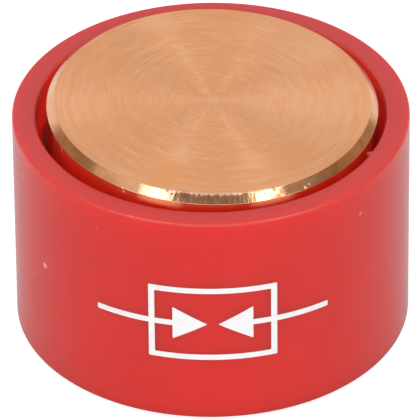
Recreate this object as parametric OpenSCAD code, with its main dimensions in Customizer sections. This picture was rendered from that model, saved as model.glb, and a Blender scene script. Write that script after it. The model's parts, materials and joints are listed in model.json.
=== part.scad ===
// Spark-gap surge arrester: a moulded ring with a turned copper electrode in each end.
// The frame's origin is the centre of the lower contact face, with +Z along the ring's axis.

/* [Housing] */
// Outside diameter of the moulded ring
housing_d = 48; // [44:0.5:56]
// Height of the moulded ring
housing_h = 28.3; // [25:0.1:34]
// Wall between the outside and the bore
wall = 2.9; // [2.4:0.1:3.6]
// Radius on the outer edge of each rim
rim_r = 0.3; // [0.2:0.1:0.8]
// Radius on the inner edge of each rim
lip_r = 0.45; // [0.2:0.05:0.6]
// Thickness of the collar that stands in from the bore at mid height
collar_h = 5; // [4:0.5:7]
// Radius on the collar's edges
collar_r = 0.4; // [0.2:0.1:0.8]

/* [Gate stub] */
// Width of the stub that the moulding gate left on the upper rim's inner edge
stub_w = 1.3; // [0.6:0.1:2]
// How far the stub stands into the bore
stub_out = 0.35; // [0.2:0.05:0.5]
// Height of the stub
stub_h = 0.5; // [0.4:0.1:1]
// Where the stub is, as an angle round the axis from +X
stub_at = -26; // [-180:1:180]

/* [Electrodes] */
// Gap all round between an electrode's head and the bore
bore_gap = 1.1; // [0.9:0.1:1.6]
// How far the lower contact face stands out of the ring
proud = 0.6; // [0.4:0.05:1.5]
// Chamfer round each contact face
face_chamfer = 0.9; // [0.5:0.1:1.2]
// Chamfer round the inner end of each head
head_break = 0.3; // [0.2:0.1:0.6]
// Diameter of the nose that reaches through the collar to the spark gap
nose_d = 30; // [26:0.5:32]
// Gap all round between a nose and the collar
nose_gap = 1.1; // [0.9:0.1:1.5]
// Radius on the nose's edge
nose_r = 0.6; // [0.3:0.1:1]
// Axial play of the collar between the two heads
slack = 0.6; // [0.4:0.1:1]

/* [Spark gap] */
// Thickness of the mica disc that sets the gap
disc_t = 0.3; // [0.2:0.05:0.5]
// Gap all round between the disc and the collar
disc_gap = 0.5; // [0.3:0.1:0.7]
// Diameter of the arcing holes in the disc
arc_hole_d = 3; // [2:0.5:4]
// Number of arcing holes in the ring of holes
arc_holes = 8; // [4:1:12]
// Diameter of the circle that the ring of holes lies on
arc_circle_d = 19; // [16:0.5:21]

/* [Seal rings] */
// Cord diameter of the rubber ring before it is squeezed
seal_cord = 2.7; // [2.5:0.1:3]
// Depth of the groove that it lies in
groove_depth = 1; // [0.8:0.1:1.2]
// Play of the squeezed ring between the groove's walls
groove_play = 0.3; // [0.2:0.1:0.5]
// Metal left between the groove and the inner end of the head
groove_land = 2.2; // [1.6:0.1:3]
// Clearance at the ring's flats
seal_fit = 0.02; // [0.01:0.01:0.05]

/* [Seating] */
// How much higher one side of the upper contact face stands than the other
face_rise = 1.5; // [0:0.05:1.8]
// Direction of the low side, as an angle round the axis from +X
low_side_at = -49; // [-180:1:180]

/* [Hidden] */
$fn = 96;
arc_steps = 8;
eps = 0.2;

housing_r = housing_d / 2;
bore_r = housing_r - wall;
head_r = bore_r - bore_gap;
collar_bore_r = nose_d / 2 + nose_gap;
disc_r = collar_bore_r - disc_gap;

// Heights of the stack, from the lower contact face up
bore_depth = (housing_h - collar_h) / 2;
head_h = proud + bore_depth;
nose_h = (collar_h + slack - disc_t) / 2;
electrode_h = head_h + nose_h;
rim_z = proud + housing_h;
stack_h = 2 * electrode_h + disc_t;

// Seal groove, from the electrode's contact face
groove_w = seal_cord + groove_play;
groove_z = head_h - groove_land - groove_w;
groove_floor_r = head_r - groove_depth;
seal_mid_r = (groove_floor_r + bore_r) / 2;
seal_z = groove_z + groove_w / 2;

// The upper electrode lies over until its nose or its head touches what is under it
lean = asin(face_rise / (2 * head_r));
lift = max((nose_d / 2 - nose_r) * sin(lean), head_r * sin(lean) - slack);
upper_seal_z = stack_h - seal_z;

// Points of an arc about [x, y], from angle a to angle b
function arc(x, y, r, a, b) =
    [for (i = [0 : arc_steps]) let (t = a + (b - a) * i / arc_steps) [x + r * cos(t), y + r * sin(t)]];

// Half section of the ring: outside, upper rim, bore, collar, bore, lower rim
module housing_section() {
    collar_z = head_h;
    polygon(concat(
        arc(housing_r - rim_r, proud + rim_r, rim_r, -90, 0),
        arc(housing_r - rim_r, rim_z - rim_r, rim_r, 0, 90),
        arc(bore_r + lip_r, rim_z - lip_r, lip_r, 90, 180),
        [[bore_r, collar_z + collar_h]],
        arc(collar_bore_r + collar_r, collar_z + collar_h - collar_r, collar_r, 90, 180),
        arc(collar_bore_r + collar_r, collar_z + collar_r, collar_r, 180, 270),
        [[bore_r, collar_z]],
        arc(bore_r + lip_r, proud + lip_r, lip_r, 180, 270)
    ));
}

// Wedge of plastic on the lip of the bore, its point towards the axis
module gate_stub() {
    rotate([0, 0, stub_at])
        translate([bore_r, 0, rim_z - stub_h])
            linear_extrude(height = stub_h)
                polygon([[lip_r + eps, stub_w / 2], [-stub_out, -stub_w / 4], [lip_r + eps, -stub_w / 2]]);
}

module housing() {
    color([0.80, 0.10, 0.09])
        union() {
            rotate_extrude() housing_section();
            gate_stub();
        }
}

// Half section of an electrode that stands on its contact face with its nose up
module electrode_section() {
    polygon(concat(
        [
            [0, 0],
            [head_r - face_chamfer, 0],
            [head_r, face_chamfer],
            [head_r, groove_z],
            [groove_floor_r, groove_z],
            [groove_floor_r, groove_z + groove_w],
            [head_r, groove_z + groove_w],
            [head_r, head_h - head_break],
            [head_r - head_break, head_h],
            [nose_d / 2, head_h]
        ],
        arc(nose_d / 2 - nose_r, electrode_h - nose_r, nose_r, 0, 90),
        [[0, electrode_h]]
    ));
}

module electrode() {
    rotate_extrude() electrode_section();
}

// Turns what stands on the lower contact face over, to hang from the upper one
module upside_down() {
    translate([0, 0, stack_h]) mirror([0, 0, 1]) children();
}

// Lays the upper electrode over about the middle of its rubber ring
module laid_over() {
    translate([0, 0, upper_seal_z + lift])
        rotate(a = lean, v = [-sin(low_side_at), cos(low_side_at), 0])
            translate([0, 0, -upper_seal_z])
                children();
}

// Rubber ring in an electrode's groove, squeezed flat against the groove's floor
module cord_ring() {
    difference() {
        translate([0, 0, seal_z])
            rotate_extrude() translate([seal_mid_r, 0]) circle(d = seal_cord, $fn = 48);
        cylinder(r = groove_floor_r + seal_fit, h = head_h);
    }
}

// The bore as the rubber rings meet it
module bore_core() {
    cylinder(r = bore_r - seal_fit, h = rim_z);
}

module lower_electrode() {
    color([0.85, 0.58, 0.40]) electrode();
}

module upper_electrode() {
    color([0.88, 0.62, 0.44]) laid_over() upside_down() electrode();
}

module lower_seal_ring() {
    color([0.52, 0.07, 0.06])
        intersection() {
            cord_ring();
            bore_core();
        }
}

module upper_seal_ring() {
    color([0.56, 0.08, 0.07])
        intersection() {
            laid_over() upside_down() cord_ring();
            bore_core();
        }
}

// Mica disc with a hole in the middle and a ring of holes, where the arc strikes
module gap_disc() {
    color([0.86, 0.83, 0.72])
        translate([0, 0, electrode_h])
            difference() {
                cylinder(r = disc_r, h = disc_t);
                translate([0, 0, -eps]) cylinder(d = arc_hole_d, h = disc_t + 2 * eps);
                for (i = [0 : arc_holes - 1])
                    rotate([0, 0, i * 360 / arc_holes])
                        translate([arc_circle_d / 2, 0, -eps])
                            cylinder(d = arc_hole_d, h = disc_t + 2 * eps);
            }
}

housing();
lower_electrode();
upper_electrode();
gap_disc();
lower_seal_ring();
upper_seal_ring();
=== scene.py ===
import json
import math
from types import SimpleNamespace

import bpy
from mathutils import Matrix, Vector


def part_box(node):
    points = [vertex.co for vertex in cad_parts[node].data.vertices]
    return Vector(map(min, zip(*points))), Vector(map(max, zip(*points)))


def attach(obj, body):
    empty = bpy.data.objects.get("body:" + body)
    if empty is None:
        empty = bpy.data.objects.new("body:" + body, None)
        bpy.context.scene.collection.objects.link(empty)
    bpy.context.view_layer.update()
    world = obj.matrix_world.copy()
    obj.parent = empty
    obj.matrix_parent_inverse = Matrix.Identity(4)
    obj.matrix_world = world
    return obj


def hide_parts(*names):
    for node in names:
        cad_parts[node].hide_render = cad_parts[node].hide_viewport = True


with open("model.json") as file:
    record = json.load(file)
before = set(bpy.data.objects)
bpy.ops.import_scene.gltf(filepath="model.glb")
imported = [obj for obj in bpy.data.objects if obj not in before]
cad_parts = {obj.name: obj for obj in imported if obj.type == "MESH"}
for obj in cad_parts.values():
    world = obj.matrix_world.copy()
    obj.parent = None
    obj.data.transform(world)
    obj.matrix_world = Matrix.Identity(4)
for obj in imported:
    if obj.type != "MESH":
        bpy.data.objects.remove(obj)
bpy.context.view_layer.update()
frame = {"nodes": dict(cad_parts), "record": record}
mm = 0.001
print("frame loaded:", ", ".join(sorted(frame["nodes"])))


# Places that the pieces share, all from the frame

ringLow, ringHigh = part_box("housing")
ringRadius = ringHigh.x
ringMiddle = (ringHigh.z + ringLow.z) / 2
rimHeight = ringHigh.z
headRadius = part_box("lower_electrode")[1].x
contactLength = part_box("lower_electrode")[1].z
mounts = {mount["name"]: mount for mount in frame["record"]["mounts"]}
faceCentre = Vector(mounts["upper_contact"]["pos_m"])
faceNormal = Vector(mounts["upper_contact"]["axis"])
lean = Vector((0, 0, 1)).rotation_difference(faceNormal)  # how the upper contact lies over
turnedOver = Matrix.Translation(faceCentre) @ lean.to_matrix().to_4x4() @ Matrix.Rotation(math.pi, 4, "X")


# Small helpers for modelling by hand

tolerance = 0.01 * mm  # for telling faces and points apart by their place


def deselectAll():
    if bpy.context.object and bpy.context.object.mode != "OBJECT":
        bpy.ops.object.mode_set(mode="OBJECT")
    bpy.ops.object.select_all(action="DESELECT")


def activate(piece):
    deselectAll()
    piece.select_set(True)
    bpy.context.view_layer.objects.active = piece


def named(name):  # names the primitive that was just added
    piece = bpy.context.object
    piece.name = piece.data.name = name
    bpy.ops.object.transform_apply(location=True, rotation=True, scale=True)
    return piece


def pick(piece, kind, test):  # goes to edit mode with only the faces, edges or points that pass
    activate(piece)
    bpy.ops.object.mode_set(mode="EDIT")
    bpy.ops.mesh.select_mode(type=kind)
    bpy.ops.mesh.select_all(action="DESELECT")
    bpy.ops.object.mode_set(mode="OBJECT")
    if kind == "FACE":
        for face in piece.data.polygons:
            face.select = test(face.center, face.normal)
    elif kind == "EDGE":
        for edge in piece.data.edges:
            edge.select = test(*(piece.data.vertices[v].co for v in edge.vertices))
    else:
        for point in piece.data.vertices:
            point.select = test(point.co)
    bpy.ops.object.mode_set(mode="EDIT")


def isLoop(radius, height):  # an edge test: part of the circle at this radius and height
    def near(p):
        return abs(math.hypot(p.x, p.y) - radius) < 2 * tolerance and abs(p.z - height) < 2 * tolerance
    return lambda a, b: near(a) and near(b)


def around(azimuth, radius, height):  # a place on a circle round the axis
    angle = math.radians(azimuth)
    return Vector((radius * math.cos(angle), radius * math.sin(angle), height))


def applyModifier(piece, kind, **settings):
    activate(piece)
    modifier = piece.modifiers.new(kind.title(), kind)
    for key, value in settings.items():
        setattr(modifier, key, value)
    bpy.ops.object.modifier_apply(modifier=modifier.name)


def joinTo(piece, others):
    activate(piece)
    for other in others:
        other.select_set(True)
    bpy.ops.object.join()


def smoothFinish(piece, angle=35):  # keeps the flats flat beside their rounded edges
    activate(piece)
    bpy.ops.object.shade_smooth_by_angle(angle=math.radians(angle))
    applyModifier(piece, "WEIGHTED_NORMAL", keep_sharp=True, weight=100)


# The moulded ring

ring = {
    "wall": 2.9 * mm,
    "collarHeight": 5 * mm,
    "collarReach": 5.0 * mm,  # from the bore in to the collar's own bore
    "rimRound": 0.3 * mm,
    "lipRound": 0.45 * mm,
    "collarRound": 0.4 * mm,
    "sides": 288,
    "stubAzimuth": -26,  # where the moulding gate left its stub, round the axis from +X
    "stubReach": 0.35 * mm,
    "stubWidth": 1.3 * mm,
    "stubHeight": 0.5 * mm,
    "stubTaper": 0.25,  # width of its point, as a share of its root's
    "stubRound": 0.06 * mm,
    "stubDrop": 0.02 * mm,  # below the rim
    "stubRoot": 0.2 * mm,  # how deep it goes into the wall behind the lip
}
boreRadius = ringRadius - ring["wall"]


def makeRing():
    height = ringHigh.z - ringLow.z
    boreDepth = (height - ring["collarHeight"]) / 2
    deselectAll()
    bpy.ops.mesh.primitive_cylinder_add(
        vertices=ring["sides"], radius=ringRadius, depth=height, end_fill_type="NGON",
        location=(0, 0, ringMiddle),
    )
    piece = named("moulded_ring")
    for side in (1, -1):  # sinks both bores down to the collar
        rim = ringMiddle + side * height / 2
        pick(piece, "FACE", lambda c, n: abs(c.z - rim) < tolerance)
        bpy.ops.mesh.inset(thickness=ring["wall"])
        bpy.ops.mesh.extrude_region_move(TRANSFORM_OT_translate={"value": (0, 0, -side * boreDepth)})
        bpy.ops.mesh.inset(thickness=ring["collarReach"])
    collar = ring["collarHeight"] / 2
    ends = (ringMiddle - collar, ringMiddle + collar)
    pick(piece, "FACE", lambda c, n: c.xy.length < mm and min(abs(c.z - end) for end in ends) < tolerance)
    bpy.ops.mesh.bridge_edge_loops()
    for radius, level, rounding, segments in (
        (ringRadius, height / 2, ring["rimRound"], 5),
        (boreRadius, height / 2, ring["lipRound"], 6),
        (boreRadius - ring["collarReach"], collar, ring["collarRound"], 4),
    ):
        for side in (1, -1):
            pick(piece, "EDGE", isLoop(radius, ringMiddle + side * level))
            bpy.ops.mesh.bevel(offset=rounding, segments=segments, profile=0.5, affect="EDGES")
    bpy.ops.object.mode_set(mode="OBJECT")
    applyModifier(piece, "BOOLEAN", operation="UNION", solver="EXACT", object=makeStub())
    bpy.data.objects.remove(bpy.data.objects["stub"])
    smoothFinish(piece)
    return piece


def makeStub():  # a wedge on the lip of the bore, its point towards the axis
    deselectAll()
    root = boreRadius + ring["lipRound"] + ring["stubRoot"]
    tip = boreRadius - ring["stubReach"]
    middle = rimHeight - ring["stubDrop"] - ring["stubHeight"] / 2
    bpy.ops.mesh.primitive_cube_add(size=1)
    bpy.ops.transform.resize(value=(root - tip, ring["stubWidth"], ring["stubHeight"]))
    bpy.ops.transform.translate(value=((root + tip) / 2, 0, middle))
    stub = named("stub")
    pick(stub, "VERT", lambda p: p.x < boreRadius)
    bpy.ops.transform.resize(value=(1, ring["stubTaper"], 1), center_override=(tip, 0, rimHeight))
    bpy.ops.mesh.select_all(action="SELECT")
    bpy.ops.mesh.bevel(offset=ring["stubRound"], segments=2, affect="EDGES")
    bpy.ops.object.mode_set(mode="OBJECT")
    stub.rotation_euler.z = math.radians(ring["stubAzimuth"])
    bpy.ops.object.transform_apply(rotation=True)
    return stub


# A turned contact, standing on its face with its nose up

contact = {
    "headHeight": 12.25 * mm,
    "chamfer": 0.9 * mm,
    "innerBreak": 0.3 * mm,
    "noseRadius": 15 * mm,
    "noseRound": 0.6 * mm,
    "grooveHeight": 7.05 * mm,  # from the face to the groove's first wall
    "grooveWidth": 3 * mm,
    "grooveDepth": 1 * mm,
    "edgeBreak": 0.03 * mm,  # the deburred edges of the chamfer
    "sides": 288,
}


def makeContact(name):
    deselectAll()
    head = contact["headHeight"]
    bpy.ops.mesh.primitive_cylinder_add(
        vertices=contact["sides"], radius=headRadius, depth=head, end_fill_type="NGON",
        location=(0, 0, head / 2),
    )
    piece = named(name)
    low, wide = contact["grooveHeight"], contact["grooveWidth"]
    for level in (low, low + wide):
        pick(piece, "FACE", lambda c, n: abs(n.z) < 0.1)
        bpy.ops.mesh.bisect(plane_co=(0, 0, level), plane_no=(0, 0, 1))
    pick(piece, "FACE", lambda c, n: abs(n.z) < 0.1 and low < c.z < low + wide)
    bpy.ops.mesh.extrude_region_move()
    floor = 1 - contact["grooveDepth"] / headRadius
    bpy.ops.transform.resize(value=(floor, floor, 1), center_override=(0, 0, low + wide / 2))
    pick(piece, "FACE", lambda c, n: n.z > 0.9 and c.z > head - tolerance)
    bpy.ops.mesh.inset(thickness=headRadius - contact["noseRadius"])
    bpy.ops.mesh.extrude_region_move(TRANSFORM_OT_translate={"value": (0, 0, contactLength - head)})
    pick(piece, "EDGE", isLoop(contact["noseRadius"], contactLength))
    bpy.ops.mesh.bevel(offset=contact["noseRound"], segments=5, profile=0.5, affect="EDGES")
    pick(piece, "EDGE", isLoop(headRadius, head))
    bpy.ops.mesh.bevel(offset=contact["innerBreak"], segments=1, affect="EDGES")
    pick(piece, "EDGE", isLoop(headRadius, 0))
    bpy.ops.mesh.bevel(offset=contact["chamfer"], segments=1, affect="EDGES")
    for radius, level in ((headRadius, contact["chamfer"]), (headRadius - contact["chamfer"], 0)):
        pick(piece, "EDGE", isLoop(radius, level))
        bpy.ops.mesh.bevel(offset=contact["edgeBreak"], segments=2, affect="EDGES")
    bpy.ops.object.mode_set(mode="OBJECT")
    smoothFinish(piece)
    return piece


def makeUpperContact():
    piece = makeContact("upper_contact")
    activate(piece)
    piece.matrix_world = turnedOver
    bpy.ops.object.transform_apply(location=True, rotation=True, scale=True)
    return piece


# The printed spark-gap symbol, laid out flat facing the front and then bent round the ring

symbol = {
    "height": ringMiddle - 0.3 * mm,  # its middle, above the contact face
    "stroke": 0.75 * mm,
    "frameWidth": 15.6 * mm,
    "frameHeight": 10.4 * mm,
    "leadReach": 14.6 * mm,  # from the middle out to a lead's end
    "headLength": 4.2 * mm,
    "headWidth": 4.6 * mm,
    "headGap": 1.3 * mm,  # between the two points
    "ink": 0.012 * mm,
    "corner": 0.12 * mm,
    "step": 0.5 * mm,  # how finely it bends
}


def flatBar(start, end, height):  # a bar between two places on the front, as high as given
    deselectAll()
    bpy.ops.mesh.primitive_plane_add(size=1, rotation=(math.pi / 2, 0, 0))
    bpy.ops.transform.resize(value=(abs(end - start), 1, height))
    bpy.ops.transform.translate(value=((start + end) / 2, 0, symbol["height"]))
    return named("bar")


def flatHead(side):  # an arrowhead that points to the middle
    tip = side * symbol["headGap"] / 2
    bar = flatBar(tip, tip + side * symbol["headLength"], symbol["headWidth"])
    pick(bar, "VERT", lambda p: abs(p.x - tip) < tolerance)
    bpy.ops.mesh.merge(type="CENTER")
    return bar


def flatFrame():
    half = symbol["frameWidth"] / 2
    bar = flatBar(-half, half, symbol["frameHeight"])
    pick(bar, "FACE", lambda c, n: True)
    bpy.ops.mesh.inset(thickness=symbol["stroke"])
    bpy.ops.mesh.delete(type="FACE")
    return bar


def makeSymbol():
    inside = symbol["frameWidth"] / 2 - symbol["stroke"]
    base = symbol["headGap"] / 2 + symbol["headLength"]
    bars = [flatFrame()]
    for side in (-1, 1):
        bars.append(flatHead(side))
        for near, far in ((base, inside), (symbol["frameWidth"] / 2, symbol["leadReach"])):
            bars.append(flatBar(side * near, side * far, symbol["stroke"]))
    piece = bars[0]
    joinTo(piece, bars[1:])
    piece.name = piece.data.name = "printed_symbol"
    pick(piece, "VERT", lambda p: True)
    bpy.ops.mesh.remove_doubles(threshold=0.001 * mm)
    bpy.ops.mesh.bevel(offset=symbol["corner"], segments=2, affect="VERTICES")
    reach = symbol["leadReach"]
    for count in range(1, round(2 * reach / symbol["step"])):
        bpy.ops.mesh.select_all(action="SELECT")
        bpy.ops.mesh.bisect(plane_co=(count * symbol["step"] - reach, 0, 0), plane_no=(1, 0, 0))
    bpy.ops.mesh.select_all(action="SELECT")
    bpy.ops.mesh.quads_convert_to_tris()
    bpy.ops.object.mode_set(mode="OBJECT")
    applyModifier(piece, "SIMPLE_DEFORM", deform_method="BEND", deform_axis="Z", angle=2 * reach / ringRadius)
    activate(piece)
    bpy.ops.transform.translate(value=(0, -ringRadius, 0))
    bpy.ops.object.transform_apply(location=True)
    applyModifier(piece, "SOLIDIFY", thickness=symbol["ink"], offset=1)
    pick(piece, "FACE", lambda c, n: True)
    bpy.ops.mesh.normals_make_consistent(inside=False)
    bpy.ops.object.mode_set(mode="OBJECT")
    smoothFinish(piece)
    return piece


mouldedRing = makeRing()
lowerContact = makeContact("lower_contact")
upperContact = makeUpperContact()
printedSymbol = makeSymbol()
print("pieces modelled:", mouldedRing.name, lowerContact.name, upperContact.name, printedSymbol.name)


# Helpers for node trees

def setInputs(tree, node, inputs):  # links what comes from another node and sets the rest
    for key, value in inputs.items():
        if isinstance(value, bpy.types.NodeSocket):
            tree.links.new(value, node.inputs[key])
        else:
            node.inputs[key].default_value = value


def addNode(tree, kind, inputs=None, **settings):
    node = tree.nodes.new("ShaderNode" + kind)
    for key, value in settings.items():
        setattr(node, key, value)
    setInputs(tree, node, inputs or {})
    return node


def calculate(tree, operation, first, *others, clamp=False):  # works through all the numbers in turn
    for other in others or (0.0,):
        first = addNode(tree, "Math", {0: first, 1: other}, operation=operation, use_clamp=clamp).outputs[0]
    return first


def add(tree, *numbers):
    return calculate(tree, "ADD", *numbers)


def multiply(tree, *numbers):
    return calculate(tree, "MULTIPLY", *numbers)


def largest(tree, *numbers):
    return calculate(tree, "MAXIMUM", *numbers)


def inverse(tree, mask):
    return calculate(tree, "SUBTRACT", 1.0, mask, clamp=True)


def swing(tree, pattern, reach):  # brings a pattern from 0 to 1 to both sides of 0
    return multiply(tree, calculate(tree, "SUBTRACT", pattern, 0.5), reach)


def ramp(tree, value, start, end, low=0.0, high=1.0):  # goes smoothly from low to high
    return addNode(
        tree, "MapRange",
        {"Value": value, "From Min": start, "From Max": end, "To Min": low, "To Max": high},
        interpolation_type="SMOOTHSTEP",
    ).outputs["Result"]


def blend(tree, mask, first, second):  # numbers
    return addNode(tree, "Mix", {0: mask, 2: first, 3: second}, data_type="FLOAT").outputs[0]


def blendColour(tree, mask, first, second):
    return addNode(tree, "Mix", {0: mask, 6: first, 7: second}, data_type="RGBA").outputs[2]


def calculateVector(tree, operation, first, second=(0, 0, 0)):
    return addNode(tree, "VectorMath", {0: first, 1: second}, operation=operation).outputs["Vector"]


def measure(tree, operation, first, second=(0, 0, 0)):  # the vector operations that give a number
    return addNode(tree, "VectorMath", {0: first, 1: second}, operation=operation).outputs["Value"]


def parts(tree, vector):
    return addNode(tree, "SeparateXYZ", {0: vector}).outputs


def noise(tree, place, scale, detail, roughness=0.5):
    inputs = {"Vector": place, "Scale": scale, "Detail": detail, "Roughness": roughness}
    return addNode(tree, "TexNoise", inputs).outputs[0]


def flatten(tree, place):
    return calculateVector(tree, "MULTIPLY", place, (1, 1, 0))


def fromAxis(tree, place):
    return measure(tree, "LENGTH", flatten(tree, place))


def newGroup(name, inputs, output):  # a node group that gives one value; inputs are named with their defaults
    tree = bpy.data.node_groups.new(name, "ShaderNodeTree")
    for label, default in inputs.items():
        kind = "NodeSocketFloat" if isinstance(default, float) else "NodeSocketVector"
        socket = tree.interface.new_socket(label, in_out="INPUT", socket_type=kind)
        socket.default_value = default
    tree.interface.new_socket(output, in_out="OUTPUT", socket_type="NodeSocketFloat")
    return tree, tree.nodes.new("NodeGroupInput").outputs, tree.nodes.new("NodeGroupOutput").inputs[output]


def useGroup(tree, group, **inputs):
    node = tree.nodes.new("ShaderNodeGroup")
    node.node_tree = group
    setInputs(tree, node, inputs)
    return node.outputs[0]


# Effects that the materials share

def turningMarksGroup():  # arcs that run round the axis, along faces and walls alike
    tree, given, result = newGroup(
        "turningMarks", {"Place": (0.0, 0.0, 0.0), "Pitch": 0.001, "Sweep": 1.0, "Detail": 3.0}, "Mark"
    )
    flat = flatten(tree, given["Place"])
    profile = add(tree, measure(tree, "LENGTH", flat), parts(tree, given["Place"])["Z"])
    profile = calculate(tree, "DIVIDE", profile, given["Pitch"])
    turn = {0: calculateVector(tree, "NORMALIZE", flat), "Scale": given["Sweep"]}
    swept = parts(tree, addNode(tree, "VectorMath", turn, operation="SCALE").outputs["Vector"])
    track = addNode(tree, "CombineXYZ", {"X": profile, "Y": swept["X"], "Z": swept["Y"]}).outputs[0]
    tree.links.new(noise(tree, track, 1.0, given["Detail"], 0.6), result)
    return tree


def edgeWearGroup():  # a ragged band along the circle at this radius and height
    inputs = {"Radius": 0.02, "Height": 0.0, "Width": 0.0002, "Ragged": 0.5, "Scale": 1000.0}
    tree, given, result = newGroup("edgeWear", {"Place": (0.0, 0.0, 0.0), **inputs}, "Wear")
    across = calculate(tree, "SUBTRACT", fromAxis(tree, given["Place"]), given["Radius"])
    along = calculate(tree, "SUBTRACT", parts(tree, given["Place"])["Z"], given["Height"])
    squares = add(tree, calculate(tree, "POWER", across, 2.0), calculate(tree, "POWER", along, 2.0))
    away = calculate(tree, "SQRT", squares)
    ragged = swing(tree, noise(tree, given["Place"], given["Scale"], 3.0), 4.0)
    share = add(tree, multiply(tree, ragged, given["Ragged"]), 1.0)
    reach = largest(tree, multiply(tree, share, given["Width"]), 1e-6)
    tree.links.new(inverse(tree, ramp(tree, away, 0.0, reach)), result)
    return tree


def scratchesGroup():  # thin, nearly straight lines in two directions, gathered in patches
    tree, given, result = newGroup(
        "fineScratches", {"Place": (0.0, 0.0, 0.0), "Scale": 200.0, "Width": 0.004, "Cover": 0.5}, "Scratch"
    )
    lines = []
    for turn in ((0.3, 0.5, 0.4), (1.2, -0.4, 2.1)):
        stretched = addNode(
            tree, "Mapping", {"Vector": given["Place"], "Rotation": turn, "Scale": (1, 0.07, 0.3)}
        ).outputs[0]
        off = calculate(tree, "ABSOLUTE", swing(tree, noise(tree, stretched, given["Scale"], 1.0), 1.0))
        lines.append(inverse(tree, ramp(tree, off, 0.0, given["Width"])))
    patch = noise(tree, given["Place"], given["Scale"], 2.0)
    bare = calculate(tree, "SUBTRACT", 1.0, given["Cover"])
    gathered = ramp(tree, patch, bare, add(tree, bare, 0.1))
    tree.links.new(multiply(tree, largest(tree, *lines), gathered), result)
    return tree


def dustGroup():  # sparse specks
    tree, given, result = newGroup(
        "dustSpecks", {"Place": (0.0, 0.0, 0.0), "Scale": 300.0, "Size": 0.2, "Cover": 0.1}, "Speck"
    )
    cells = addNode(tree, "TexVoronoi", {"Vector": given["Place"], "Scale": given["Scale"]})
    lot = addNode(tree, "SeparateColor", {0: cells.outputs["Color"]}).outputs[0]
    chosen = calculate(tree, "GREATER_THAN", lot, calculate(tree, "SUBTRACT", 1.0, given["Cover"]))
    spot = inverse(tree, ramp(tree, cells.outputs["Distance"], 0.0, given["Size"]))
    tree.links.new(multiply(tree, spot, chosen), result)
    return tree


def mottleGroup():  # slow clouds that shift a tone from place to place, from 0 to 1 around 0.5
    tree, given, result = newGroup(
        "mottle", {"Place": (0.0, 0.0, 0.0), "Scale": 100.0, "Contrast": 1.0}, "Tone"
    )
    clouds = swing(tree, noise(tree, given["Place"], given["Scale"], 4.0, 0.55), given["Contrast"])
    tree.links.new(calculate(tree, "ADD", clouds, 0.5, clamp=True), result)
    return tree


turningMarks = turningMarksGroup()
edgeWear = edgeWearGroup()
fineScratches = scratchesGroup()
dustSpecks = dustGroup()
mottle = mottleGroup()


# What the materials have in common

def newMaterial(name):
    material = bpy.data.materials.new(name)
    material.use_nodes = True
    tree = material.node_tree
    place = addNode(tree, "TexCoord").outputs["Object"]
    return material, tree, tree.nodes["Principled BSDF"], place


def bump(tree, shader, height, distance):
    node = addNode(tree, "Bump", {"Height": height, "Distance": distance, "Strength": 1.0})
    tree.links.new(node.outputs[0], shader.inputs["Normal"])


def spots(tree, place, marks):  # small marks, each with its azimuth, radius, height, size and strength
    mask = 0.0
    for azimuth, radius, height, size, strength in marks:
        away = measure(tree, "DISTANCE", place, around(azimuth, radius, height))
        mask = largest(tree, mask, ramp(tree, away, 0.3 * size, size, strength, 0.0))
    return mask


def dress(piece, material):
    piece.data.materials.clear()
    piece.data.materials.append(material)


# The ring's red plastic

plastic = {
    "red": (0.70, 0.018, 0.012, 1),
    "deepRed": (0.65, 0.015, 0.009, 1),
    "bore": (0.98, 0.11, 0.07, 1),  # inside, brighter as painted glow of light that comes through the wall
    "lapped": (0.58, 0.010, 0.007, 1),  # the flat of the rim
    "lip": (0.42, 0.008, 0.005, 1),  # its rounded inner edge, at the front, darkened as painted shade of the dark gap
    "paleLip": (0.64, 0.045, 0.032, 1),  # the same elsewhere
    "lipTurns": (-15 * mm, -8 * mm),  # from front to back, where the lip turns pale
    "edge": (0.57, 0.033, 0.021, 1),  # its rounded outer edge, darkened as painted shade against the light glowing through it
    "scuffed": (0.80, 0.16, 0.14, 1),
    "nick": (0.95, 0.42, 0.36, 1),
    "scuffs": {"scratches": 0.35, "dust": 0.5, "edgeWear": 0.25},  # how much they show
    "gloss": (0.16, 0.21),  # roughness where it is untouched
    "dull": 0.34,
    "edgeRough": 0.3,
    "boreRough": 0.45,
    "glow": (1, 0.035, 0.022, 1),  # light that comes through the wall into the bore
    "glowStrength": 0.19,
    "glowDepth": 3.5 * mm,  # where it is strongest, below the rim
    "glowFoot": (7 * mm, 0.2),  # how far down it has faded, and to what share
    "glowSides": (16 * mm, 19 * mm),  # how far out to the sides it begins and is complete
    "glowBack": (-6 * mm, -1 * mm),  # the same from front to back
    "glowRight": 0.7,  # its share at the right
    "softness": 5 * mm,  # how far light travels inside the plastic
    "softReach": (1.0, 0.08, 0.05),  # the same for each colour, as shares
    "fleckRelief": 0.3,  # beside that of a scratch
    "reliefDepth": 0.004 * mm,
    "nicks": (  # azimuth, radius, height, size, strength
        (-146.9, ringRadius, rimHeight - 13.3 * mm, 0.55 * mm, 1.0),
        (-42.5, ringRadius, rimHeight - 4.0 * mm, 0.4 * mm, 0.35),
        (-124.8, ringRadius, rimHeight - 3.4 * mm, 0.35 * mm, 0.1),
        (-160.4, ringRadius, rimHeight - 3.7 * mm, 0.3 * mm, 0.5),
        (-178.7, 22.4 * mm, rimHeight, 0.35 * mm, 0.1),
        (178.5, 21.6 * mm, rimHeight, 0.3 * mm, 0.12),
        (-168.4, 23.6 * mm, rimHeight, 0.3 * mm, 0.15),
    ),
}


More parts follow.
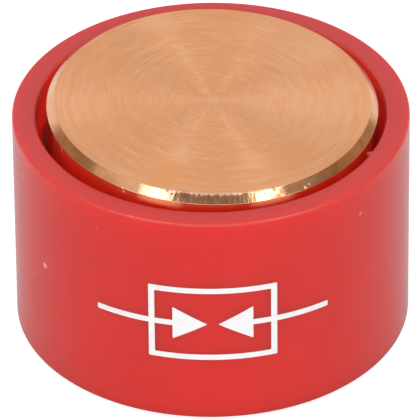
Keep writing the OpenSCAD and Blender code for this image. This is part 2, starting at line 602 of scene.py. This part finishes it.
def boreGlow(tree, split, inside):  # at both sides, where the camera looks deep into the gap
    middle = rimHeight - plastic["glowDepth"]
    footDepth, footShare = plastic["glowFoot"]
    near, far = plastic["glowSides"]
    return multiply(
        tree, inside,
        ramp(tree, calculate(tree, "ABSOLUTE", split["X"]), near, far),
        ramp(tree, split["Y"], *plastic["glowBack"]),
        ramp(tree, split["X"], -near, near, 1.0, plastic["glowRight"]),
        ramp(tree, split["Z"], middle, rimHeight - ring["lipRound"], 1.0, 0.0),
        ramp(tree, split["Z"], rimHeight - footDepth, middle, footShare, 1.0),
        plastic["glowStrength"],
    )


def redMoulding():
    material, tree, shader, place = newMaterial("redMoulding")
    tone = useGroup(tree, mottle, Place=place, Scale=90.0, Contrast=2.0)
    fleck = useGroup(tree, mottle, Place=place, Scale=1500.0, Contrast=1.0)
    scratch = useGroup(tree, fineScratches, Place=place, Scale=260.0, Width=0.006, Cover=0.3)
    dust = useGroup(tree, dustSpecks, Place=place, Scale=420.0, Size=0.16, Cover=0.05)
    wear = useGroup(
        tree, edgeWear, Place=place, Radius=ringRadius - 0.1 * mm, Height=rimHeight - 0.1 * mm,
        Width=0.16 * mm, Ragged=0.9, Scale=900.0,
    )
    nicks = spots(tree, place, plastic["nicks"])
    share = plastic["scuffs"]
    scuff = largest(
        tree, multiply(tree, scratch, share["scratches"]), multiply(tree, dust, share["dust"]),
        multiply(tree, wear, share["edgeWear"]),
    )

    split = parts(tree, place)
    away = fromAxis(tree, place)
    lipMiddle = boreRadius + 0.5 * ring["lipRound"]
    lipFoot = rimHeight - ring["lipRound"]
    inside = ramp(tree, away, lipMiddle - 0.1 * mm, lipMiddle + 0.1 * mm, 1.0, 0.0)
    outward = ramp(tree, away, lipMiddle + 1 * mm, lipMiddle + 1.5 * mm)
    rounded = ramp(tree, split["Z"], lipFoot - 0.05 * mm, lipFoot + 0.1 * mm)
    onRim = ramp(tree, split["Z"], rimHeight - 0.08 * mm, rimHeight - 0.01 * mm)

    # painted shade: the lip is darker at the front, beside the dark gap
    lip = blendColour(tree, ramp(tree, split["Y"], *plastic["lipTurns"]), plastic["lip"], plastic["paleLip"])
    colour = blendColour(tree, tone, plastic["deepRed"], plastic["red"])
    # painted glow: the inside of the bore is brighter
    colour = blendColour(tree, inside, colour, plastic["bore"])
    # painted shade on the rounded outer edge, against its glow
    colour = blendColour(tree, rounded, colour, blendColour(tree, outward, lip, plastic["edge"]))
    colour = blendColour(tree, onRim, colour, plastic["lapped"])
    colour = blendColour(tree, scuff, colour, plastic["scuffed"])
    tree.links.new(blendColour(tree, nicks, colour, plastic["nick"]), shader.inputs["Base Color"])

    scuff = largest(tree, scuff, nicks)
    gloss = blend(tree, tone, *plastic["gloss"])
    gloss = blend(tree, inside, gloss, plastic["boreRough"])
    gloss = blend(tree, rounded, gloss, plastic["edgeRough"])
    tree.links.new(blend(tree, scuff, gloss, plastic["dull"]), shader.inputs["Roughness"])
    relief = calculate(tree, "SUBTRACT", multiply(tree, fleck, plastic["fleckRelief"]), scuff)
    bump(tree, shader, relief, plastic["reliefDepth"])

    shader.inputs["Emission Color"].default_value = plastic["glow"]
    tree.links.new(boreGlow(tree, split, inside), shader.inputs["Emission Strength"])
    shader.inputs["IOR"].default_value = 1.5
    shader.inputs["Subsurface Weight"].default_value = 1.0
    shader.inputs["Subsurface Radius"].default_value = plastic["softReach"]
    shader.inputs["Subsurface Scale"].default_value = plastic["softness"]
    return material


# The contacts' turned copper

copper = {
    "bright": (0.84, 0.425, 0.225, 1),
    "dark": (0.76, 0.355, 0.172, 1),
    "pale": (0.86, 0.455, 0.265, 1),  # paler copper for the pale patches, partly painted highlight
    "tarnish": (0.79, 0.34, 0.135, 1),  # streaks of a warmer tone
    "burr": (0.94, 0.62, 0.48, 1),
    "sootAndShade": (0.42, 0.20, 0.10, 1),  # blotches on the chamfer
    "sideShade": (0.62, 0.42, 0.30, 1),  # painted shade: the chamfer duller and darker at both sides
    "wall": (0.96, 0.52, 0.33, 1),  # the side of the head, below the chamfer
    "lampGlint": (1.0, 0.32, 0.14, 1),  # the wall's brim under the lamps' glint, tinted as painted highlight
    "shaded": (0.12, 0.035, 0.02, 1),  # the wall at both sides, deep in the gap
    "faceRough": 0.37,
    "chamferRough": 0.12,
    "wallRough": 0.2,
    "brimRough": 0.55,
    "burrRough": 0.45,
    "grain": 0.82,  # how much longer highlights are across the turning marks
    "faceHeights": (0.02 * mm, 0.06 * mm),  # where the face turns into the chamfer
    "wallHeights": (0.05 * mm, 0.15 * mm),  # where the wall begins, from the chamfer
    "brimHeights": (0.4 * mm, 1.2 * mm),  # where its brim fades, from the chamfer
    "shadedSides": (18.8 * mm, 19.6 * mm),  # how far out to the sides it begins and is complete
    "shadedStrength": 0.92,
    "sideShadeReach": (17.5 * mm, 19 * mm),  # the same
    "sideShadeStrength": 0.3,
    "lappedStrength": 0.15,
    "marks": {  # patterns that run round the axis: their pitch, how often they break off, detail
        "fine": (0.12 * mm, 9.0, 2.0),
        "rings": (0.22 * mm, 2.2, 1.0),
        "streaks": (0.55 * mm, 4.5, 3.0),
        "arcs": (0.9 * mm, 4.0, 3.0),
        "grooves": (1.5 * mm, 1.6, 2.0),
        "chatter": (2.5 * mm, 60.0, 2.0),
        "patches": (2.5 * mm, 13.0, 2.0),
    },
    "shade": {  # how much each mark, and the painted highlight and shade, lighten or darken the copper
        "arcs": 0.52,
        "fine": 0.38,
        "rings": 0.9,
        "grooves": 0.13,
        "paintedRays": 0.2,
        "wedge": 0.04,
        "onChamfer": 0.4,  # what is left of them there
    },
    "relief": {"arcs": 0.4, "fine": 0.3, "rings": 0.4, "scratches": 0.15, "chatter": 1.5, "burr": 2.0},
    "reliefDepth": 0.006 * mm,  # of a mark with a relief of 1
    # All places below are in the contact's own frame, where the face lies at height 0
    "chips": (  # azimuth, radius, height, size, strength
        (159.1, headRadius, 0.51 * mm, 0.3 * mm, 1.0),
        (154.6, headRadius, 1.44 * mm, 0.3 * mm, 1.0),
        (122.7, headRadius, 0.91 * mm, 0.2 * mm, 1.0),
        (122.1, headRadius, 1.3 * mm, 0.25 * mm, 1.0),
        (56.4, 19.85 * mm, 0.75 * mm, 0.3 * mm, 1.0),
        (54.6, 19.7 * mm, 0.6 * mm, 0.2 * mm, 1.0),
    ),
    "notches": (  # the same for dark spots on the chamfer
        (68, 19.25 * mm, 0.15 * mm, 0.4 * mm, 1.0),
        (71.5, 19.4 * mm, 0.3 * mm, 0.2 * mm, 1.0),
        (106.5, 19.2 * mm, 0.1 * mm, 0.3 * mm, 1.0),
        (104.5, 19.35 * mm, 0.25 * mm, 0.25 * mm, 1.0),
    ),
    "lampGlintAzimuths": (69, 108.5),  # where the lamps glint on the chamfer and the wall under it, for painted highlight and shade
    "lappedAzimuth": 118.7,  # a paler place on the chamfer
    "rayStart": (1.5 * mm, 5 * mm),  # how far from the axis they begin and are complete
    "rayEnd": (10 * mm, 17 * mm),  # how far out they fade
    "paintedRays": (  # azimuth and strength of painted highlight streaks on the face, where the lamps glint
        (-110, 0.9),
        (70, 0.8),
        (109.5, 0.45),
        (-70.5, 0.3),
    ),
    "warmStains": (  # azimuth, radius, size and strength of soft patches on the face
        (-102, 13.8 * mm, 3.5 * mm, 0.6),
        (-76, 10 * mm, 3.5 * mm, 0.6),
        (-145, 14.5 * mm, 4.5 * mm, 0.45),
        (110, 15.8 * mm, 4 * mm, 0.9),
        (52, 14.5 * mm, 5.5 * mm, 0.6),
        (145, 14 * mm, 4.5 * mm, 0.5),
        (51, 9 * mm, 3.5 * mm, 0.5),
        (138, 11.7 * mm, 4 * mm, 0.5),
    ),
    "paleStainsAndHighlights": (  # the same, for paler patches, partly real and partly painted highlight
        (4, 12 * mm, 11 * mm, 0.7),
        (172, 17 * mm, 5 * mm, 0.6),
        (-40, 15.5 * mm, 6 * mm, 1.0),
        (66, 13.4 * mm, 2.2 * mm, 0.8),
        (108, 12.7 * mm, 2.4 * mm, 0.8),
        (-114, 17.5 * mm, 3 * mm, 0.7),
        (0, 0, 1.1 * mm, 1.0),
        (-120, 2.1 * mm, 1 * mm, 0.9),
    ),
}


def alongAzimuth(tree, turn, azimuth):  # 1 in this direction from the axis, 0 square to it
    return measure(tree, "DOT_PRODUCT", turn, around(azimuth, 1, 0))


def contactZones(tree, place):  # what the surface is at a point, and where round the axis it stands
    split = parts(tree, place)
    flat = flatten(tree, place)
    turn = calculateVector(tree, "NORMALIZE", flat)
    ahead = parts(tree, turn)["Y"]
    chamfer = contact["chamfer"]
    wallStart, wallEnd = copper["wallHeights"]
    face = ramp(tree, split["Z"], *copper["faceHeights"], 1.0, 0.0)
    faceAndChamfer = ramp(tree, split["Z"], chamfer, chamfer + wallStart, 1.0, 0.0)
    brim = ramp(tree, split["Z"], *(chamfer + height for height in copper["brimHeights"]), 1.0, 0.0)
    lampGlint = largest(tree, *(
        ramp(tree, alongAzimuth(tree, turn, azimuth), 0.986, 0.9995) for azimuth in copper["lampGlintAzimuths"]
    ))
    return SimpleNamespace(
        flat=flat,
        turn=turn,
        away=measure(tree, "LENGTH", flat),
        aside=calculate(tree, "ABSOLUTE", split["X"]),
        inLine=calculate(tree, "ABSOLUTE", ahead),  # 1 at the front and the back, 0 at both sides
        front=ramp(tree, ahead, 0.9, 0.97),  # the front, where the chatter marks and the painted teeth of light are strongest
        face=face,
        chamfer=calculate(tree, "SUBTRACT", faceAndChamfer, face, clamp=True),
        wall=ramp(tree, split["Z"], chamfer + wallStart, chamfer + wallEnd),
        brim=multiply(tree, brim, lampGlint),
        lampGlint=lampGlint,
        lapped=ramp(tree, alongAzimuth(tree, turn, copper["lappedAzimuth"]), 0.9975, 0.9995),
    )


def contactMarks(tree, place, at):  # the turning marks, each as a pattern
    marks = SimpleNamespace(**{
        name: useGroup(tree, turningMarks, Place=place, Pitch=pitch, Sweep=sweep, Detail=detail)
        for name, (pitch, sweep, detail) in copper["marks"].items()
    })
    centred = ramp(tree, at.away, 0.1 * headRadius, 0.5 * headRadius, 0.25, 0.85)
    marks.rings = swing(tree, marks.rings, centred)
    groove = ramp(tree, calculate(tree, "ABSOLUTE", swing(tree, marks.grooves, 1.0)), 0.01, 0.08, 1.0, 0.0)
    marks.grooves = multiply(tree, groove, ramp(tree, marks.arcs, 0.4, 0.6, 0.2, 1.0))
    marks.chattered = swing(tree, marks.chatter, blend(tree, at.front, 0.4, 1.4))
    return marks


def stainMask(tree, flat, drift, stains):  # patches whose borders drift with a pattern
    mask = 0.0
    for azimuth, radius, size, strength in stains:
        away = measure(tree, "DISTANCE", flat, around(azimuth, radius, 0))
        away = add(tree, away, swing(tree, drift, 1.6 * size))
        mask = largest(tree, mask, ramp(tree, away, 0.2 * size, size, strength, 0.0))
    return mask


def burrMask(tree, place, at, marks):  # raised metal along both edges of the chamfer, and chips; at the front the inner edge's pale comb is partly painted highlight
    outer = useGroup(
        tree, edgeWear, Place=place, Radius=headRadius, Height=contact["chamfer"],
        Width=0.08 * mm, Ragged=1.0, Scale=1100.0,
    )
    inner = useGroup(
        tree, edgeWear, Place=place, Radius=headRadius - contact["chamfer"], Height=0.0,
        Width=0.3 * mm, Ragged=1.4, Scale=700.0,
    )
    comb = multiply(tree, ramp(tree, marks.chatter, 0.38, 0.6, 0.2, 0.8), at.front)
    chips = spots(tree, place, copper["chips"])
    return largest(tree, multiply(tree, outer, 0.15), multiply(tree, inner, comb), chips)


def paintedRayMask(tree, at, marks):  # painted highlight: streaks that run out from the middle of the face, where the lamps glint
    paintedRays = largest(tree, *(
        ramp(tree, alongAzimuth(tree, at.turn, azimuth), 0.9965, 0.9999, 0.0, strength)
        for azimuth, strength in copper["paintedRays"]
    ))
    nearEnd = ramp(tree, at.away, *copper["rayStart"])
    farEnd = ramp(tree, at.away, *copper["rayEnd"], 1.0, 0.0)
    return multiply(tree, paintedRays, nearEnd, farEnd, add(tree, marks.arcs, 0.3))


def blotchMask(tree, place, at, marks):  # soot and notches on the chamfer, stronger under the lamps' glint, where they are painted shade in the highlight
    clouds = useGroup(tree, mottle, Place=place, Scale=420.0, Contrast=2.0)
    blotch = largest(
        tree, ramp(tree, clouds, 0.5, 0.9, 0.0, 0.45), ramp(tree, marks.patches, 0.45, 0.75, 0.0, 0.5)
    )
    blotch = multiply(tree, blotch, blend(tree, at.lampGlint, at.chamfer, multiply(tree, at.chamfer, 1.9)))
    blotch = largest(tree, blotch, spots(tree, place, copper["notches"]))
    return blend(tree, at.lapped, blotch, 0.0)


def copperColour(tree, place, at, marks, burr):
    share = copper["shade"]
    wedge = ramp(tree, at.inLine, 0.93, 0.975)  # painted shade: a darker, warmer sector at the front and the back
    shade = add(
        tree, swing(tree, marks.arcs, share["arcs"]), swing(tree, marks.fine, share["fine"]),
        multiply(tree, marks.rings, share["rings"]),
    )
    shade = multiply(tree, shade, ramp(tree, at.inLine, 0.2, 0.9, 0.5, 1.25))
    shade = calculate(tree, "SUBTRACT", shade, multiply(tree, marks.grooves, share["grooves"]))
    # painted highlight along the streaks, less the painted shade of the wedge
    paintedLightAndShade = multiply(tree, paintedRayMask(tree, at, marks), share["paintedRays"])
    paintedLightAndShade = calculate(tree, "SUBTRACT", paintedLightAndShade, multiply(tree, wedge, share["wedge"]))
    shade = blend(tree, at.face, shade, add(tree, shade, paintedLightAndShade))
    chamferShade = add(tree, multiply(tree, shade, share["onChamfer"]), marks.chattered)
    shade = blend(tree, at.chamfer, shade, chamferShade)
    shade = ramp(tree, shade, -0.2, 0.2)
    # pale patches, partly painted highlight where the face catches more light
    pale = multiply(tree, stainMask(tree, at.flat, marks.arcs, copper["paleStainsAndHighlights"]), at.face)
    colour = blendColour(
        tree, shade,
        blendColour(tree, pale, copper["dark"], copper["bright"]),
        blendColour(tree, pale, copper["bright"], copper["pale"]),
    )

    tone = useGroup(tree, mottle, Place=place, Scale=110.0, Contrast=1.6)
    tarnish = add(tree, marks.streaks, swing(tree, tone, 0.35), multiply(tree, wedge, 0.05))
    tarnish = multiply(tree, ramp(tree, tarnish, 0.4, 0.74, 0.0, 0.7), blend(tree, pale, 1.0, 0.4))
    tarnish = largest(tree, tarnish, stainMask(tree, at.flat, marks.arcs, copper["warmStains"]))
    colour = blendColour(tree, tarnish, colour, copper["tarnish"])

    # under the lamps' glint the blotches take the shaded colour: painted shade in the highlight
    sootedAndShaded = blendColour(tree, at.lampGlint, copper["sootAndShade"], copper["shaded"])
    colour = blendColour(tree, blotchMask(tree, place, at, marks), colour, sootedAndShaded)
    lapped = multiply(tree, at.lapped, at.chamfer, copper["lappedStrength"])
    colour = blendColour(tree, lapped, colour, copper["burr"])
    # painted shade on the chamfer at both sides
    sideShade = ramp(tree, at.aside, *copper["sideShadeReach"], 0.0, copper["sideShadeStrength"])
    colour = blendColour(tree, multiply(tree, sideShade, at.chamfer), colour, copper["sideShade"])

    wall = blendColour(tree, marks.fine, copper["bright"], copper["wall"])
    # painted highlight tint on the brim under the lamps
    wall = blendColour(tree, at.brim, wall, copper["lampGlint"])
    shaded = ramp(tree, at.aside, *copper["shadedSides"], 0.0, copper["shadedStrength"])
    wall = blendColour(tree, shaded, wall, copper["shaded"])
    colour = blendColour(tree, at.wall, colour, wall)

    # painted highlight: pale teeth of light across the chamfer at the front
    teeth = multiply(tree, ramp(tree, marks.chatter, 0.5, 0.7, 0.0, 0.5), at.front, at.chamfer)
    return blendColour(tree, largest(tree, burr, teeth), colour, copper["burr"])


def copperRoughness(tree, at, marks, burr):
    rough = blend(tree, at.brim, copper["wallRough"], copper["brimRough"])
    rough = blend(tree, at.face, rough, copper["faceRough"])
    rough = blend(tree, at.chamfer, rough, copper["chamferRough"])
    rough = blend(tree, multiply(tree, marks.fine, 0.2), rough, 0.5)
    return blend(tree, burr, rough, copper["burrRough"])


def copperRelief(tree, place, at, marks, burr):
    share = copper["relief"]
    scratch = useGroup(tree, fineScratches, Place=place, Scale=300.0, Width=0.005, Cover=0.45)
    relief = add(
        tree, multiply(tree, marks.arcs, share["arcs"]), multiply(tree, marks.fine, share["fine"]),
        multiply(tree, marks.rings, share["rings"]),
    )
    relief = calculate(tree, "SUBTRACT", relief, multiply(tree, scratch, share["scratches"]))
    relief = multiply(tree, relief, ramp(tree, at.away, 1 * mm, 10 * mm, 0.15, 1.0))
    relief = blend(tree, at.chamfer, relief, multiply(tree, marks.chattered, share["chatter"]))
    return add(tree, relief, multiply(tree, burr, share["burr"]))


def turnedCopper(name, placement):  # placement is where the contact's own frame lies in the object
    material, tree, shader, objectPlace = newMaterial(name)
    place = addNode(
        tree, "Mapping",
        {"Vector": objectPlace, "Location": placement.to_translation(), "Rotation": placement.to_euler()},
        vector_type="TEXTURE",
    ).outputs[0]
    at = contactZones(tree, place)
    marks = contactMarks(tree, place, at)
    burr = burrMask(tree, place, at, marks)
    tree.links.new(copperColour(tree, place, at, marks, burr), shader.inputs["Base Color"])
    tree.links.new(copperRoughness(tree, at, marks, burr), shader.inputs["Roughness"])
    bump(tree, shader, copperRelief(tree, place, at, marks, burr), copper["reliefDepth"])
    shader.inputs["Metallic"].default_value = 1
    shader.inputs["Anisotropic"].default_value = copper["grain"]
    shader.inputs["Anisotropic Rotation"].default_value = 0.25  # highlights spread across the marks
    spoke = calculateVector(tree, "SUBTRACT", objectPlace, placement.to_translation())
    axis = placement.to_quaternion() @ Vector((0, 0, 1))
    tree.links.new(calculateVector(tree, "CROSS_PRODUCT", axis, spoke), shader.inputs["Tangent"])
    return material


# The ink, the rubber and the mica

ink = {
    "dark": (0.84, 0.80, 0.79, 1),
    "light": (0.90, 0.88, 0.87, 1),
    "pinhole": (0.80, 0.45, 0.42, 1),  # the red that shows through
    "rough": (0.3, 0.42),
    "reliefDepth": 0.003 * mm,
}


def whiteInk():
    material, tree, shader, place = newMaterial("whiteInk")
    tone = useGroup(tree, mottle, Place=place, Scale=700.0, Contrast=1.6)
    pinholes = useGroup(tree, dustSpecks, Place=place, Scale=2600.0, Size=0.3, Cover=0.06)
    colour = blendColour(tree, tone, ink["dark"], ink["light"])
    tree.links.new(blendColour(tree, pinholes, colour, ink["pinhole"]), shader.inputs["Base Color"])
    tree.links.new(blend(tree, tone, *ink["rough"]), shader.inputs["Roughness"])
    bump(tree, shader, calculate(tree, "SUBTRACT", tone, pinholes), ink["reliefDepth"])
    return material


rubber = {
    "dark": (0.42, 0.022, 0.014, 1),
    "light": (0.55, 0.035, 0.022, 1),
    "bloom": (0.62, 0.12, 0.09, 1),  # pale specks
    "wiped": (0.95, 0.07, 0.045, 1),  # clean where the bore has rubbed it
    "wipedReach": (20.2 * mm, 21 * mm),  # from the axis, where that begins and is complete
    "sootAndShade": (0.05, 0.006, 0.005, 1),
    "leftShadeReach": (-16 * mm, 8 * mm),  # from left to right, where the painted shade of the deep gap fades
    "leftShadeStrength": 0.35,
    "rough": (0.45, 0.62),
    "reliefDepth": 0.01 * mm,
}


def redSilicone():
    material, tree, shader, place = newMaterial("redSilicone")
    tone = useGroup(tree, mottle, Place=place, Scale=400.0, Contrast=2.0)
    bloom = useGroup(tree, dustSpecks, Place=place, Scale=900.0, Size=0.35, Cover=0.2)
    wiped = ramp(tree, fromAxis(tree, place), *rubber["wipedReach"])
    sootAndShade = ramp(tree, parts(tree, place)["X"], *rubber["leftShadeReach"], rubber["leftShadeStrength"], 0.0)
    colour = blendColour(tree, tone, rubber["dark"], rubber["light"])
    colour = blendColour(tree, bloom, colour, rubber["bloom"])
    colour = blendColour(tree, wiped, colour, rubber["wiped"])
    # painted shade: the seal is darker at the left, deep in the gap
    colour = blendColour(tree, blend(tree, wiped, sootAndShade, 0.0), colour, rubber["sootAndShade"])
    tree.links.new(colour, shader.inputs["Base Color"])
    tree.links.new(blend(tree, tone, *rubber["rough"]), shader.inputs["Roughness"])
    bump(tree, shader, tone, rubber["reliefDepth"])
    return material


mica = {
    "dark": (0.50, 0.43, 0.28, 1),
    "light": (0.66, 0.60, 0.45, 1),
    "flake": (0.78, 0.74, 0.62, 1),
    "flakeStrength": 0.35,
    "rough": (0.25, 0.5),
    "reliefDepth": 0.01 * mm,
}


def micaSheet():
    material, tree, shader, place = newMaterial("micaSheet")
    flakes = addNode(tree, "TexVoronoi", {"Vector": place, "Scale": 900.0})
    flake = addNode(tree, "SeparateColor", {0: flakes.outputs["Color"]}).outputs[0]
    tone = useGroup(tree, mottle, Place=place, Scale=150.0, Contrast=2.0)
    colour = blendColour(tree, tone, mica["dark"], mica["light"])
    colour = blendColour(tree, multiply(tree, flake, mica["flakeStrength"]), colour, mica["flake"])
    tree.links.new(colour, shader.inputs["Base Color"])
    tree.links.new(blend(tree, flake, *mica["rough"]), shader.inputs["Roughness"])
    bump(tree, shader, flake, mica["reliefDepth"])
    return material


dress(mouldedRing, redMoulding())
dress(upperContact, turnedCopper("upperCopper", turnedOver))
dress(lowerContact, turnedCopper("lowerCopper", Matrix()))
dress(printedSymbol, whiteInk())
silicone = redSilicone()
sheet = micaSheet()
for nodeName, material in (("upper_seal_ring", silicone), ("lower_seal_ring", silicone), ("gap_disc", sheet)):
    frame["nodes"][nodeName].material_slots[0].material = material
print("materials set")


# What each new piece rides on and stands for

for piece, node, slotName in (
    (mouldedRing, "housing", "red_moulding"),
    (upperContact, "upper_electrode", "turned_copper"),
    (lowerContact, "lower_electrode", "turned_copper"),
):
    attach(piece, "root")
    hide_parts(node)
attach(printedSymbol, "root")


# Studio: a white floor, a white surround and two soft boxes

studio = {
    "floorSize": 40.0,
    "floorDrop": 0.01 * mm,  # below the face that the part stands on
    "floorGrey": (0.5, 0.5, 0.5, 1),
    "floorRough": 0.8,
    "floorLift": 0.8,  # what the camera sees on top of the light that falls on the floor
    "floorGlare": (0.26, 0.7),  # the same in reflections, near and far; dimmer near the part as a painted shadow
    "glareReach": (0.07, 0.25),
    "boxDistance": 0.4,
    "boxSize": (0.096, 0.125),
    "boxWatts": (0.26, 0.3),  # left and right
    "boxColour": (0.78, 0.9, 1),
    "boxAzimuth": (-41.5, 45.5),  # from the front
    "boxElevation": 50,
    # Strengths of the surround, and where on a unit sphere round the object its parts begin and are complete
    "sides": (0.31, 0.47),  # from the middle to the back
    "sideDepths": (-0.05, 0.5),
    "warmth": (1, 0.8, 0.6, 1),  # colour of the sides
    "ceiling": 0.42,
    "ceilingHeights": (0.5, 0.62),
    "zenith": 0.9,
    "zenithHeights": (0.78, 0.9),
    "zenithLean": 0.25,  # how much lower it reaches at the back
    "back": (1.1, 1.03),  # low and high
    "backDepths": (0.56, 0.72),
    "backHeights": (0.2, 0.4),
    "backSkew": 0.08,  # how much further it reaches at the left
    "front": (2.7, 0.28),  # low and high
    "frontDepths": (-0.3, -0.6),
    "frontHeights": (0.32, 0.62),
    "panel": 0.88,  # a pale panel at the left
    "panelAzimuth": -72,
    "panelElevation": 42,
    "panelReach": 15,  # degrees from its middle to its edge
}


def skyward(azimuth, elevation):  # a direction, by its angles from the front and from the floor
    azimuth, elevation = math.radians(azimuth), math.radians(elevation)
    level = math.cos(elevation)
    return Vector((math.sin(azimuth) * level, -math.cos(azimuth) * level, math.sin(elevation)))


def makeFloor():
    deselectAll()
    bpy.ops.mesh.primitive_plane_add(size=studio["floorSize"], location=(0, 0, -studio["floorDrop"]))
    floor = named("floor")
    material, tree, shader, place = newMaterial("whiteFloor")
    shader.inputs["Base Color"].default_value = studio["floorGrey"]
    shader.inputs["Roughness"].default_value = studio["floorRough"]
    shader.inputs["Specular IOR Level"].default_value = 0
    shader.inputs["Emission Color"].default_value = (1, 1, 1, 1)
    lightPath = addNode(tree, "LightPath")
    seen = multiply(tree, lightPath.outputs["Is Camera Ray"], studio["floorLift"])
    # painted shadow: the floor glows dimmer in reflections near the part
    glare = ramp(tree, measure(tree, "LENGTH", place), *studio["glareReach"], *studio["floorGlare"])
    mirrored = multiply(tree, lightPath.outputs["Is Glossy Ray"], glare)
    tree.links.new(largest(tree, seen, mirrored), shader.inputs["Emission Strength"])
    dress(floor, material)


def makeSurround():
    world = bpy.data.worlds.new("whiteSurround")
    bpy.context.scene.world = world
    world.use_nodes = True
    tree = world.node_tree
    background = tree.nodes["Background"]
    direction = addNode(tree, "TexCoord").outputs["Generated"]
    across, depth, height = parts(tree, direction)
    high = ramp(tree, height, *studio["ceilingHeights"])
    level = ramp(tree, depth, *studio["sideDepths"], *studio["sides"])
    level = blend(tree, high, level, studio["ceiling"])
    panel = skyward(studio["panelAzimuth"], studio["panelElevation"])
    towards = measure(tree, "DOT_PRODUCT", direction, panel)
    edge = math.cos(math.radians(studio["panelReach"]))
    level = blend(tree, ramp(tree, towards, edge - 0.01, edge + 0.01), level, studio["panel"])
    askew = calculate(tree, "SUBTRACT", depth, multiply(tree, across, studio["backSkew"]))
    back = ramp(tree, askew, *studio["backDepths"])
    level = blend(tree, back, level, ramp(tree, height, *studio["backHeights"], *studio["back"]))
    front = ramp(tree, depth, *studio["frontDepths"])
    level = blend(tree, front, level, ramp(tree, height, *studio["frontHeights"], *studio["front"]))
    aloft = add(tree, height, multiply(tree, depth, studio["zenithLean"]))
    level = blend(tree, ramp(tree, aloft, *studio["zenithHeights"]), level, studio["zenith"])
    seen = addNode(tree, "LightPath").outputs["Is Camera Ray"]
    white = calculate(tree, "MINIMUM", largest(tree, seen, high, add(tree, back, front)), 1.0)
    tree.links.new(blendColour(tree, white, studio["warmth"], (1, 1, 1, 1)), background.inputs["Color"])
    tree.links.new(largest(tree, level, seen), background.inputs["Strength"])


def makeSoftBox(side):
    direction = skyward(studio["boxAzimuth"][side], studio["boxElevation"])
    light = bpy.data.lights.new("softBox", "AREA")
    light.shape = "RECTANGLE"
    light.size, light.size_y = studio["boxSize"]
    light.energy = studio["boxWatts"][side]
    light.color = studio["boxColour"]
    lamp = bpy.data.objects.new("softBox", light)
    bpy.context.scene.collection.objects.link(lamp)
    lamp.location = Vector((0, 0, rimHeight)) + direction * studio["boxDistance"]
    lamp.rotation_euler = direction.to_track_quat("Z", "Y").to_euler()


makeFloor()
makeSurround()
makeSoftBox(0)
makeSoftBox(1)
print("studio set")


# Camera at the photograph's angle

shot = {
    "elevation": 34.1,
    "distance": 0.864,  # from the centre of the rim
    "lens": 614.2,  # in millimetres, as the sensor
    "sensor": 36,
    "clip": (0.01, 100),
    "aim": (-0.22 * mm, 0, rimHeight - 14.58 * mm),
    "roll": 0.57,
}


def makeCamera():
    elevation = math.radians(shot["elevation"])
    rimCentre = Vector((0, 0, rimHeight))
    place = rimCentre + shot["distance"] * Vector((0, -math.cos(elevation), math.sin(elevation)))
    forward = (Vector(shot["aim"]) - place).normalized()
    camera = bpy.data.objects.new("camera", bpy.data.cameras.new("camera"))
    bpy.context.scene.collection.objects.link(camera)
    camera.data.lens = shot["lens"]
    camera.data.sensor_width = shot["sensor"]
    camera.data.clip_start, camera.data.clip_end = shot["clip"]
    turn = Matrix.Rotation(math.radians(shot["roll"]), 4, forward)
    facing = forward.to_track_quat("-Z", "Y").to_matrix().to_4x4()
    camera.matrix_world = Matrix.Translation(place) @ turn @ facing
    bpy.context.scene.camera = camera


makeCamera()
bpy.context.scene.view_settings.view_transform = "Standard"

print("done")
